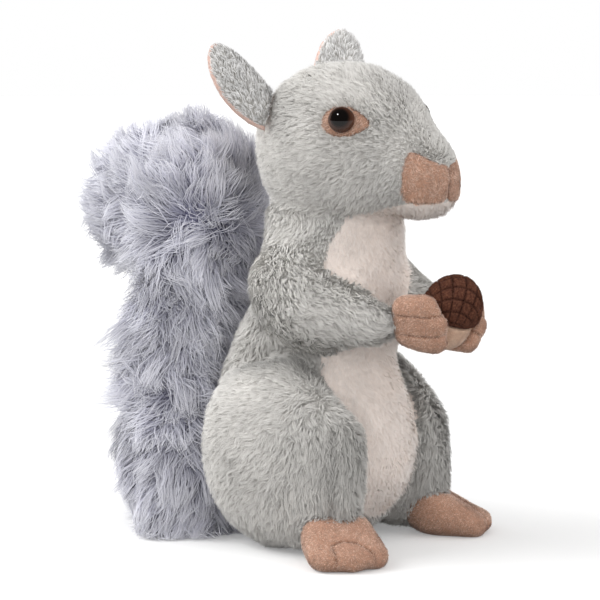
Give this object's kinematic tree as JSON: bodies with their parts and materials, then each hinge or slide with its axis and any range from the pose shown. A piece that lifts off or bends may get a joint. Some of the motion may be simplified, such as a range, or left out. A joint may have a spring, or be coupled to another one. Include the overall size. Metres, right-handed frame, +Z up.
{
  "type": "plush squirrel",
  "caption": "Soft plush squirrel that sits upright with a curled shaggy tail and holds a toy acorn between its hands.",
  "frame": {"origin": "middle of the flat seat under the torso, on the surface that the toy sits on", "axes": "+Z up, the squirrel faces -Y, its own right side is at -X and its left side at +X"},
  "size_m": [0.1643, 0.274, 0.2966],
  "materials": {
    "grey_short_plush": "short soft pile",
    "lilac_long_plush": "long shaggy pile",
    "cream_plush": "very short pile",
    "peach_suede": "matt suede",
    "brown_quilted_fabric": "quilted plush",
    "tan_nut_suede": "matt suede",
    "dark_eye_plastic": "polished",
    "white_washer_plastic": "plain moulded"
  },
  "bodies": {
    "root": {"torso": "grey_short_plush", "belly_panel": "cream_plush", "head": "grey_short_plush", "chin_panel": "cream_plush", "tail": "lilac_long_plush", "acorn_cap": "brown_quilted_fabric", "acorn_nut": "tan_nut_suede", "muzzle_patch_right": "peach_suede", "eye_patch_right": "peach_suede", "eye_right": "dark_eye_plastic", "eye_washer_right": "white_washer_plastic", "ear_right": "grey_short_plush", "ear_lining_right": "peach_suede", "arm_right": "grey_short_plush", "hand_right": "peach_suede", "leg_right": "grey_short_plush", "foot_right": "peach_suede", "muzzle_patch_left": "peach_suede", "eye_patch_left": "peach_suede", "eye_left": "dark_eye_plastic", "eye_washer_left": "white_washer_plastic", "ear_left": "grey_short_plush", "ear_lining_left": "peach_suede", "arm_left": "grey_short_plush", "hand_left": "peach_suede", "leg_left": "grey_short_plush", "foot_left": "peach_suede"}
  },
  "joints": []
}
